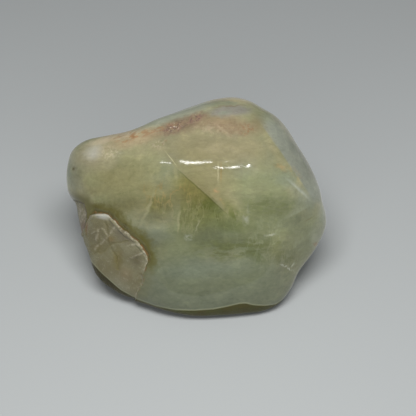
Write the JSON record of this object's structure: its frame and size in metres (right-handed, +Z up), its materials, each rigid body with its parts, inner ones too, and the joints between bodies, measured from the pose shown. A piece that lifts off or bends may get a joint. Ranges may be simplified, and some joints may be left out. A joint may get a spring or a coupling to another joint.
{
  "type": "beryl freeform",
  "caption": "Hand-polished freeform of milky pale green beryl with rounded flats, a rusty band along its ridge and a patch of rough natural skin at one low corner.",
  "frame": {"origin": "bottom centre of the stone's bounding box, on the plane of the small flat face that it rests on", "axes": "+X along the stone's long side toward its blunt right end, +Z up; the broad polished front faces -Y"},
  "size_m": [0.0618, 0.0472, 0.0405],
  "materials": {
    "pale_green_beryl": "polished"
  },
  "bodies": {
    "root": {"beryl_stone": "pale_green_beryl"}
  },
  "joints": []
}
